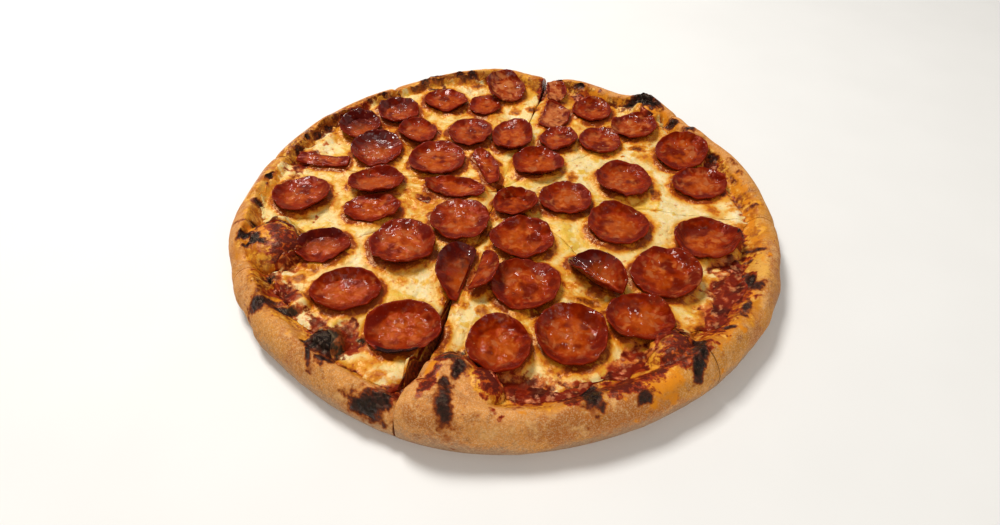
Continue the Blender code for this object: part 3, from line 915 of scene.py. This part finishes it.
# How far up from the underside each ring stands, as a share of the thickness
lift = np.array((0,) * len(UNDER_SHARES) + (0.25, 0.75) + (1,) * len(TOP_SHARES))[:, None]
even_shares = np.linspace(EVEN_FROM, EVEN_FROM + EVEN_SPAN, EVEN_RINGS)
even_rows = np.clip(((shares - EVEN_FROM) / EVEN_SPAN * (EVEN_RINGS - 1)).astype(int), 0, EVEN_RINGS - 1)
edge = np.repeat(share, SIDES, axis=1)
pool = smooth(1.5 - edge * 1.6) * (lift > 0.9)
crisped = smooth((edge - 0.84 + 0.16 * (lift < 0.9)) / 0.08)
ring = np.arange(SIDES)
after = (ring + 1) % SIDES
last = 1 + (len(shares) - 1) * SIDES
faces = np.stack((0 * ring, 1 + after, 1 + ring), axis=-1).tolist()
for near in range(1, last, SIDES):
    far = near + SIDES
    faces += np.stack((near + ring, near + after, far + after, far + ring), axis=-1).tolist()
faces += np.stack((last + ring, last + after, 0 * ring + last + SIDES), axis=-1).tolist()

sausage_points, sausage_faces = [], []
for number, (width, depth, special) in enumerate(SAUSAGE, 1):
    packed = sausage_sheet(PACKED_SHARES, PACKED_SIDES, width, depth, **special).reshape(-1, 3)
    turn, shift = pose_of(f"sausage_{number:02d}", np.vstack(((0, 0, 0), packed)))
    sheet = sausage_sheet(shares, SIDES, width, depth, seed=number, **special)
    along = np.roll(sheet, -1, axis=1) - np.roll(sheet, 1, axis=1)
    even = sausage_sheet(even_shares, SIDES, width, depth, seed=number, **special)
    normal = np.cross(np.gradient(even, axis=0)[even_rows], along)
    normal /= np.linalg.norm(normal, axis=2, keepdims=True)
    x, y = sheet[..., 0], sheet[..., 1]
    thick = RIM_THICKNESS + (SAUSAGE_THICKNESS - RIM_THICKNESS) * smooth((1 - share) * 3)
    thick = thick + 0.4 * noise(x + 40 * number, y, 5, 31) + 0.2 * noise(x + 40 * number, y, 2, 32)
    skin = sheet + normal * (thick * lift)[..., None]
    points = np.vstack((skin[0].mean(axis=0), skin.reshape(-1, 3), skin[-1].mean(axis=0)))
    points = points @ turn.T + shift
    # Painted shade: each slice's far side is coloured darker, and it also gets the most coat gloss
    far_shade_and_gloss = capped(0.4, np.clip(0.45 + 0.75 * (y - 0.4 * x) / (depth / 2), 0, 1), 0.4)
    dark = special.get("dark", 0.25)
    towards, half_width, strength = special.get("burnt", (0, 1, 0))
    away = (np.degrees(np.arctan2(y, x)) - towards + 180) % 360 - 180
    blackened = strength * np.exp(-((away / half_width) ** 2)) * crisped
    masks = {
        "edge": capped(1.0, edge, 0.0),
        "pool": capped(0.0, pool, 1.0),
        "pale": np.full(len(points), special.get("pale", 0.0)),
        "burnt": capped(0.0, blackened, 0.0),
        # The dark mask is painted shade over the far side up to 1, and a darker tone over the whole slice
        # past 1
        "dark": max(dark - 1, 0) + min(dark, 1) * far_shade_and_gloss,
        "shine": special.get("shine", 0.35) * (0.15 + 0.85 * far_shade_and_gloss),
    }
    piece = new_piece(f"sausage_slice_{number:02d}", points, faces, masks, meat)
    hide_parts(f"sausage_{number:02d}")
    start = sum(len(p) for p in sausage_points)
    sausage_points.append(points)
    sausage_faces += [[corner + start for corner in face] for face in faces]
sausages = BVHTree.FromPolygons(np.vstack(sausage_points).tolist(), sausage_faces)


# Tomato sauce: a thin dark red film on the bread, baked to a lumpy caramel where it shows past the
# cheese and in the cuts. It follows the bread's own rows.

SAUCE_THICKNESS = 0.8
SAUCE_LIFT = 0.05  # of its underside off the bread
SAUCE_ROWS_IN = 12
SAUCE_ROWS_OUT = 28
SAUCE_BAND = 20.0  # width of the finer rows at its edge
SAUCE_SHOWS_PAST = -0.6
SMOOTHED_COLUMNS = 15  # over which a ragged edge is evened out
# Millimetre steps from the topping's edge, outwards and inwards
STEPS_OUT = range(14)
STEPS_IN = range(0, -24, -1)


def run_of(i, share, start, steps, table, level, seed=8, joined=True):
    """How far from start a spot reaches by millimetre steps out or in, joined to start or not."""
    offsets = np.asarray(steps, float)[None]
    x, y = place(i, share, start + offsets, 0 * offsets)
    reached = smooth((spots(x, y, table, 0.5 if joined else 0.2, seed) - level) / 0.4 + 0.5)
    if joined:
        reached = np.minimum.accumulate(reached, axis=1)
    run = (np.abs(offsets) * reached).max(axis=1)
    window = np.hanning(SMOOTHED_COLUMNS + 2)[1:-1]
    padded = np.pad(run, SMOOTHED_COLUMNS // 2, mode="edge")
    return np.convolve(padded, window / window.sum(), mode="valid")[:, None]


def bread_under(rings, out, up):
    """How high the bread stands under a topping's rings."""
    columns = zip(rings, out[:, : CREST + 1], up[:, : CREST + 1])
    return np.stack([np.interp(ring, bread_out, bread_up) for ring, bread_out, bread_up in columns])


# Baked tomato sauce: dark red and wet, with paler clots and a skin that dried in patches
sauce, tree, shader, at = new_material("baked_tomato_sauce")
clots = add(tree, "TexNoise", {"Vector": at, "Scale": 1000 / 3, "Detail": 4})
skin = add(tree, "TexNoise", {"Vector": at, "Scale": 1000 / 9, "Detail": 3})
veil = add(tree, "TexNoise", {"Vector": at, "Scale": 1000 / 8, "Detail": 4, "Distortion": 1.5})
colour = painted(
    tree,
    "701808",
    (
        ("94300F", patchy(tree, clots, 0.48, 0.62)),
        ("440E08", patchy(tree, skin, 0.48, 0.62)),
        ("BC5A1A", patchy(tree, clots, 0.62, 0.76)),
        ("C88456", patchy(tree, veil, 0.56, 0.72, clots, 0.8), 0.6),
    ),
)
tree.links.new(colour, shader.inputs["Base Color"])
shader.inputs["Roughness"].default_value = 0.28
shader.inputs["Specular Tint"].default_value = linear("E89060")
relief = add(tree, "Bump", {"Height": clots, "Strength": 0.7, "Distance": 0.6 * MM})
tree.links.new(relief, shader.inputs["Normal"])

parts, sauce_faces, count = [], [], 0
for i in range(8):
    share, out, up, edge = breads[i]
    past = SAUCE_SHOWS_PAST + 0.7 * noise(share * 100, 0 * share, 6, 40 + i)
    past = past + run_of(i, share, edge, STEPS_OUT, SAUCE_SPOTS, 0.5)
    bare = run_of(i, share, edge, STEPS_IN, BARE, 0.55, joined=False)
    end = edge + past * (1 - smooth(bare / 3)) - bare
    start = end - SAUCE_BAND
    fine = np.linspace(0, 1, SAUCE_ROWS_OUT + 1)[None]
    rows = np.linspace(0, 1, SAUCE_ROWS_IN + 1)[None, :-1]
    rings = np.concatenate((TIP_RADIUS + (start - TIP_RADIUS) * rows, start + (end - start) * fine), axis=1)
    bed = bread_under(rings, out, up)
    x, y = place(i, share, rings, 0 * rings)
    fade = smooth((end - rings) / 1.5)
    depth = 0.15 + (SAUCE_THICKNESS + 0.45 * noise(x, y, 3, 41) + 0.25 * noise(x, y, 1.5, 42)) * fade
    under = bed + SAUCE_LIFT
    up_block = np.stack((under, under + depth / 2, under + depth), axis=2)
    out_block = np.repeat(rings[..., None], 3, axis=2)
    x, y = place(i, share[..., None], out_block, up_block)
    points, faces, _ = block_skin(x, y, up_block, {}, step=4)
    parts.append(points)
    sauce_faces += [[corner + count for corner in face] for face in faces]
    count += len(points)
new_piece("tomato_sauce", np.vstack(parts), sauce_faces, {}, sauce)


# Melted cheese: a pale blanket of stretchy cheese on each slice, toasted in spots, pressed down by the
# sausage and stained orange by its fat, with painted warm shade beside each slice of sausage. Its
# underside lies on the sauce, and its top is the packed blanket's height with the sausage slices'
# undersides pressed into it.

CHEESE_THICKNESS = 5.0
CHEESE_LIFT = 0.3  # of its underside off the bread, on the sauce
CHEESE_LIP = 0.72  # thickness at its edge
CHEESE_THINNING = 6.0  # how far in from its edge it thickens
CHEESE_LEAST = 0.45  # how thin a slice of sausage can press it
CHEESE_RINGS = 152
CHEESE_LAYERS = 4
DEEPEST_PRESS = 3.0  # of the cheese under or beside a slice of sausage
HIGHEST_SWELL = 1.3
UNDER_SAUSAGE = 0.35  # how far below a slice of sausage the cheese under it lies
BESIDE_SAUSAGE = 0.7  # and how far below its edge the cheese beside it
MENISCUS = 2.2  # how far from a slice the cheese turns up or down to meet it
# The halo is partly fat stain and partly painted warm shade beside each slice
FAT_HALO = 5.2  # how far its fat stains the cheese
SAUSAGE_REACH = 12.0  # beyond which a slice no longer moves or stains it
# How far the top sinks at a cut, and how far from it
SUNK_AT_CUT = (0.6, 0.9)
SUNK_AT_GAPING_CUT = (2.2, 3.0)
# Where the cheese climbed further up the rim: (direction, size, half-width)
CHEESE_CLIMBS = (
    (108, 5, 17),
    (-124, 4, 9),
    (140, 3, 14),
    (172, 4, 13),
    (46, 2, 9),
    (-6, 2, 8),
)
# Toasted spots: (x, y, length, width, turn, strength)
TOASTS = (
    (8, 101, 8, 7, 0, 0.9),
    (19, 101, 7, 7, 0, 1),
    (40, 25, 8, 9, 0, 0.8),
    (4, 25, 3, 3, 0, 0.7),
    (84, 56, 10, 9, 20, 1),
    (87, 47, 8, 6, 0, 0.6),
    (73, 46, 3, 3, 0, 0.9),
    (87, 8, 7, 10, 0, 1),
    (-98, -52, 6, 8, 0, 0.8),
    (-105, -59, 9, 6, 10, 0.8),
    (-81, -40, 5, 3, 0, 0.6),
    (-21, -77, 6, 6, 0, 0.7),
    (-13, -79, 8, 6, -20, 0.75),
    (6, -82, 9, 6, 0, 0.75),
    (21, -114, 6, 4, 0, 0.7),
    (56, -110, 11, 10, 0, 1),
    (40, -75, 20, 7, -20, 0.9),
    (-18, 130, 10, 7, 0, 0.9),
    (66, 0, 5, 6, 0, 0.6),
    (98, -40, 5, 4, 0, 0.7),
    (-57, -120, 14, 6, 20, 0.6),
    (112, 33, 12, 5, 20, 0.7),
    (16, -122, 11, 9, 0, 0.45),
    (-30, 132, 20, 8, 5, 0.6),
    (10, 133, 14, 6, -5, 0.7),
)
# Fat that ran over the cheese: (x, y, length, width, turn, strength)
STAINS = (
    (-45, 2, 36, 21, -30, 1.05),
    (-51, -11, 8, 6, 0, 1.05),
    (-52, -60, 8, 9, -15, 1.0),
    (-36, -58, 5, 10, 0, 1.0),
    (-82, -40, 4, 4, 0, 1.0),
    (-68, -46, 8, 6, -20, 0.8),
    (-96, 0, 6, 18, 0, 0.75),
    (-97, 22, 12, 10, 0, 0.7),
    (-15, -67, 15, 7, -25, 1.2),
    (33, -63, 15, 8, 0, 1.05),
    (27, -56, 10, 5, -40, 0.8),
    (-18, 23, 7, 9, -50, 1.15),
    (-6, -12, 6, 3, 0, 0.9),
    (88, 45, 15, 12, 0, 0.9),
    (88, 26, 5, 10, 0, 1.1),
    (83, -5, 5, 3, 0, 1.1),
    (80, -21, 6, 9, 0, 0.8),
    (117, -5, 12, 14, 0, 1.15),
    (60, -38, 18, 6, 10, 0.8),
    (67, -62, 4, 12, 0, 1.05),
    (43, -70, 15, 11, -20, 1.25),
    (52, -4, 14, 6, 30, 0.6),
    (-62, 27, 12, 8, -20, 0.6),
    (-30, 96, 20, 10, 0, 0.9),
    (-80, 78, 50, 60, 0, 1.1),
    (-78, 34, 26, 10, 0, 0.9),
    (-97, 62, 16, 14, 0, 0.8),
    (-58, 95, 14, 16, 0, 0.95),
    (-8, 88, 26, 10, 0, 0.85),
    (-40, 60, 14, 14, 0, 0.75),
    (45, 80, 22, 12, 0, 0.8),
    (72, 95, 14, 12, 0, 1.05),
    (-52, 22, 14, 10, 0, 0.95),
    (26, 108, 10, 12, 0, 0.9),
    (-60, 50, 12, 10, 0, 0.7),
    (-88, 30, 12, 8, 0, 0.7),
    (20, 80, 14, 10, 0, 0.7),
    (-105, -52, 18, 9, -20, 1.0),
    (-60, -112, 22, 8, 10, 0.9),
    (40, -108, 22, 9, 0, 0.8),
    (90, -40, 14, 10, 0, 0.6),
)

# Melted cheese: pale cream-yellow and softly see-through, curdled in fine lumps and strings, golden
# where fat soaked in and where warm shade is painted beside the sausage, and brown in blisters where
# it toasted
cheese, tree, shader, at = new_material("melted_toasted_cheese")
MASKS = ("toast", "fat", "sauce", "char")
named = {name: add(tree, "Attribute", gives="Fac", attribute_name=name) for name in MASKS}
broad = add(tree, "TexNoise", {"Vector": at, "Scale": 1000 / 24, "Detail": 3})
curd = add(tree, "TexNoise", {"Vector": at, "Scale": 1000 / 7, "Detail": 5, "Roughness": 0.58})
fleck = add(tree, "TexNoise", {"Vector": at, "Scale": 1000 / 1.8, "Detail": 3})
lumpy = add(tree, "TexNoise", {"Vector": at, "Scale": 1000 / 3, "Detail": 5, "Roughness": 0.62})
cells = add(tree, "TexVoronoi", {"Vector": at, "Scale": 1000 / 5.5})
clot = add(tree, "MapRange", {"Value": cells, "From Min": 0.62, "From Max": 0.3})
sockets = {"Vector": at, "Scale": 1000 / 16, "Distortion": 11, "Detail": 3, "Detail Scale": 2}
strings = add(tree, "TexWave", sockets, gives="Fac")
colour = painted(
    tree,
    "E9CD8A",
    (
        ("F0E0B2", patchy(tree, curd, 0.44, 0.58)),
        ("E0B648", patchy(tree, broad, 0.5, 0.7, curd, 1.4)),
        # The fat layers colour real fat stains, and also painted warm shade beside each slice, darkest
        # where the cheese meets it
        ("E6AC40", patchy(tree, named["fat"], 0.05, 0.7, curd, 1.6), 0.75),
        ("DB942A", patchy(tree, named["fat"], 0.4, 1.1, curd, 1.5)),
        ("CC6A10", patchy(tree, named["fat"], 0.75, 1.3, lumpy, 2.0)),
        ("8C360E", patchy(tree, named["fat"], 1.1, 1.45, lumpy, 1.6)),
        ("D88A20", patchy(tree, named["toast"], 0.1, 0.5, lumpy, 1.6)),
        ("AC540C", patchy(tree, named["toast"], 0.45, 0.85, lumpy, 1.8)),
        ("5E2206", patchy(tree, named["toast"], 0.8, 1.1, lumpy, 1.8)),
        ("C8682A", patchy(tree, named["sauce"], 0.15, 0.6, lumpy, 2.2)),
        ("8A240C", patchy(tree, named["sauce"], 0.55, 0.95, lumpy, 2.4)),
        ("5E120A", clot, patchy(tree, named["sauce"], 0.3, 0.8, lumpy, 2.4)),
        ("7A3412", patchy(tree, named["char"], 0.35, 0.7, lumpy, 2.0)),
        ("2A1A14", patchy(tree, named["char"], 0.75, 1.05, lumpy, 2.0)),
        ("C08A3C", patchy(tree, fleck, 0.66, 0.78)),
    ),
)
tree.links.new(colour, shader.inputs["Base Color"])
rough = add(tree, "MapRange", {"Value": named["fat"], "To Min": 0.46, "To Max": 0.25})
tree.links.new(rough, shader.inputs["Roughness"])
shader.inputs["Specular IOR Level"].default_value = 0.4
shader.inputs["Subsurface Weight"].default_value = 0.2
shader.inputs["Subsurface Radius"].default_value = (1.0, 0.5, 0.2)
shader.inputs["Subsurface Scale"].default_value = 2.5 * MM
shader.inputs["Specular Tint"].default_value = linear("F4D090")
coarse = add(tree, "Bump", {"Height": curd, "Strength": 0.6, "Distance": 1.8 * MM})
drawn = add(tree, "Bump", {"Height": strings, "Strength": 0.2, "Distance": 0.5 * MM, "Normal": coarse})
fine = add(tree, "Bump", {"Height": fleck, "Strength": 0.3, "Distance": 0.3 * MM, "Normal": drawn})
tree.links.new(fine, shader.inputs["Normal"])

for i in range(8):
    share, out, up, edge = breads[i]
    low, high = slice_span(i)
    bare = run_of(i, share, edge, STEPS_IN, BARE, 0.5, joined=False)
    recess = np.maximum(run_of(i, share, edge, STEPS_IN, SAUCE_SPOTS, 0.75), bare)
    x, y = place(i, share, edge, 0 * edge)
    recess = recess - swell(np.arctan2(y, x), CHEESE_CLIMBS, i + 1) * (1 - smooth(recess / 3))
    end = edge + 1.4 * noise(share * 100, 0 * share, 9, 50 + i)
    end = end + 0.9 * noise(share * 100, 0 * share, 3, 60 + i) - recess
    rings = TIP_RADIUS + (end - TIP_RADIUS) * np.linspace(0, 1, CHEESE_RINGS + 1)[None]
    bed = bread_under(rings, out, up)
    x, y = place(i, share, rings, 0 * rings)
    inside = end - rings
    level = 1 - np.exp(-inside / CHEESE_THINNING)
    toast = spots(x, y, TOASTS, 0.4, 9)
    char = spots(x, y, CHARS)
    stain = spots(x, y, SAUCE_SPOTS, 0.5, 8)
    ran = spots(x, y, STAINS, 0.45, 10)
    depth = CHEESE_LIP + (CHEESE_THICKNESS + CHEESE_LIFT - CHEESE_LIP + 0.7 * lumps(x, y, 8)) * level
    depth = depth + level * (0.6 * noise(x, y, 9, 51) + 0.42 * noise(x, y, 3.6, 52, 3))
    depth = depth + 0.5 * toast * level
    depth = depth - 1.6 * stain * level + 0.6 * stain * noise(x, y, 2.8, 56)
    side_low = share * np.radians(high - low) * rings
    side_high = (1 - share) * np.radians(high - low) * rings
    for cut, side in ((i, side_low), ((i + 1) % 8, side_high)):
        drop, far = SUNK_AT_GAPING_CUT if cut == GAPING_CUT else SUNK_AT_CUT
        depth = depth - drop * np.exp(-side / far) * level
    top = bed + np.maximum(depth, 0.5)

    # The sausage slices lie in it: it meets their undersides and turns up or down beside them
    fat = np.zeros_like(top)
    shift = np.zeros_like(top)
    for c in range(top.shape[0]):
        for r in range(top.shape[1]):
            point = (x[c, r], y[c, r], top[c, r])
            near = sausages.find_nearest((point[0], point[1], point[2] + 1.5), SAUSAGE_REACH)[0]
            if near is None:
                continue
            away = math.hypot(near.x - point[0], near.y - point[1])
            # The halo round a slice: fat stain, and also painted warm shade beside it
            fat[c, r] = math.exp(-((away / FAT_HALO) ** 2))
            over = sausages.ray_cast((point[0], point[1], -1), (0, 0, 1))[0]
            if over is not None:
                move = over.z - UNDER_SAUSAGE - point[2]
            else:
                move = near.z - BESIDE_SAUSAGE - point[2]
            shift[c, r] = min(max(move, -DEEPEST_PRESS), HIGHEST_SWELL)
            if over is None:
                shift[c, r] *= math.exp(-((away / MENISCUS) ** 2))
    for _ in range(2):
        shift[1:-1] = (shift[:-2] + 2 * shift[1:-1] + shift[2:]) / 4
        shift[:, 1:-1] = (shift[:, :-2] + 2 * shift[:, 1:-1] + shift[:, 2:]) / 4
    top = np.maximum(top + shift, bed + CHEESE_LEAST)
    under = bed + CHEESE_LIFT + 0.02 * (top - bed)
    layer = np.linspace(0, 1, CHEESE_LAYERS + 1)
    up_block = under[..., None] + (top - under)[..., None] * layer
    out_block = np.repeat(rings[..., None], CHEESE_LAYERS + 1, axis=2)
    # Its melted edge bulges between the top and the foot
    out_block[:, -1] += 0.5 * np.sin(np.pi * layer) - 0.4 * layer
    x3, y3 = place(i, share[..., None], out_block, up_block)
    border = np.exp(-inside / 5) * (0.45 + 0.7 * noise(x, y, 9, 53))
    scorched = swell(np.arctan2(y, x), BROWNED, i + 1)
    # Painted shade: the fat mask is raised where the cheese meets a slice, which darkens it there
    contact_shade = 0.75 * np.clip(fat * 2 - 1.2, 0, 0.8)
    soaked = np.maximum(fat * (1.0 + 0.55 * noise(x, y, 8, 54)), ran) + 0.5 * border
    reddened = stain * 1.1 + np.exp(-inside / 2.0) * (0.1 + 0.7 * noise(x, y, 7, 55))
    masks = {
        "toast": np.clip(np.maximum(toast, border * (1 + 0.9 * scorched)), 0, 1.2),
        "fat": np.clip(soaked, 0, 1.3) + contact_shade,
        "sauce": np.clip(reddened, 0, 1.2),
        "char": char,
    }
    masks = {name: np.repeat(mask[..., None], CHEESE_LAYERS + 1, axis=2) for name, mask in masks.items()}
    # The walls of the cuts are stained from below, and where the front one gapes they are painted dark
    # red: sauce with painted shade in the gap
    fat_wall, sauce_and_gap_shade = 0.7 * smooth(1.2 - layer * 1.5), smooth(1.4 - layer * 1.5)
    for column, cut in ((0, i), (-1, (i + 1) % 8)):
        masks["fat"][column] = np.maximum(masks["fat"][column], fat_wall)
        if cut == GAPING_CUT:
            masks["sauce"][column] = np.maximum(masks["sauce"][column], sauce_and_gap_shade)
    points, faces, masks = block_skin(x3, y3, up_block, masks, step=4)
    piece = new_piece(f"melted_cheese_{i + 1}", points, faces, masks, cheese)
    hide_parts(f"cheese_{i + 1}")


# The floor, light and camera: a pale table top under a soft window from behind on the left, and the
# camera at the photograph's own view.

table, tree, shader, at = new_material("pale_table_top")
speck = add(tree, "TexNoise", {"Vector": at, "Scale": 1000 / 60, "Detail": 2})
tree.links.new(painted(tree, "F2F1EE", (("ECEBE8", speck),)), shader.inputs["Base Color"])
shader.inputs["Roughness"].default_value = 0.7
half = 2.5  # metres
corners = ((-half, -half, 0), (half, -half, 0), (half, half, 0), (-half, half, 0))
data = bpy.data.meshes.new("table_top")
data.from_pydata(corners, [], [(0, 1, 2, 3)])
data.materials.append(table)
floor = bpy.data.objects.new("table_top", data)
bpy.context.scene.collection.objects.link(floor)

world = bpy.data.worlds.new("soft_room")
world.use_nodes = True
world.node_tree.nodes["Background"].inputs["Color"].default_value = (1.0, 0.96, 0.9, 1)
world.node_tree.nodes["Background"].inputs["Strength"].default_value = 0.3
bpy.context.scene.world = world
# Window and fill: (name, direction, height angle, distance in metres, size in metres, watts, colour)
LIGHTS = (
    ("window", 128, 60, 1.3, 0.35, 15, (1.0, 0.985, 0.96)),
    ("fill", -75, 38, 1.6, 1.2, 7, (1.0, 0.98, 0.96)),
)
for name, heading, rise, far, size, watts, tint in LIGHTS:
    lamp = bpy.data.lights.new(name, "AREA")
    lamp.size = size
    lamp.energy = watts
    lamp.color = tint
    holder = bpy.data.objects.new(name, lamp)
    flat = direction(heading) * math.cos(math.radians(rise)) * far
    holder.location = (flat[0], flat[1], math.sin(math.radians(rise)) * far)
    holder.rotation_euler = (math.radians(90 - rise), 0, math.radians(heading + 90))
    bpy.context.scene.collection.objects.link(holder)

lens = bpy.data.cameras.new("camera")
lens.sensor_width = 36
lens.lens = 22.28
lens.clip_start = 0.01
camera = bpy.data.objects.new("camera", lens)
camera.location = (-0.0043, -0.2748, 0.2377)
camera.rotation_euler = (math.radians(90 - 44.704), math.radians(-0.23), 0)
bpy.context.scene.collection.objects.link(camera)
bpy.context.scene.camera = camera
bpy.context.scene.view_settings.view_transform = "Standard"
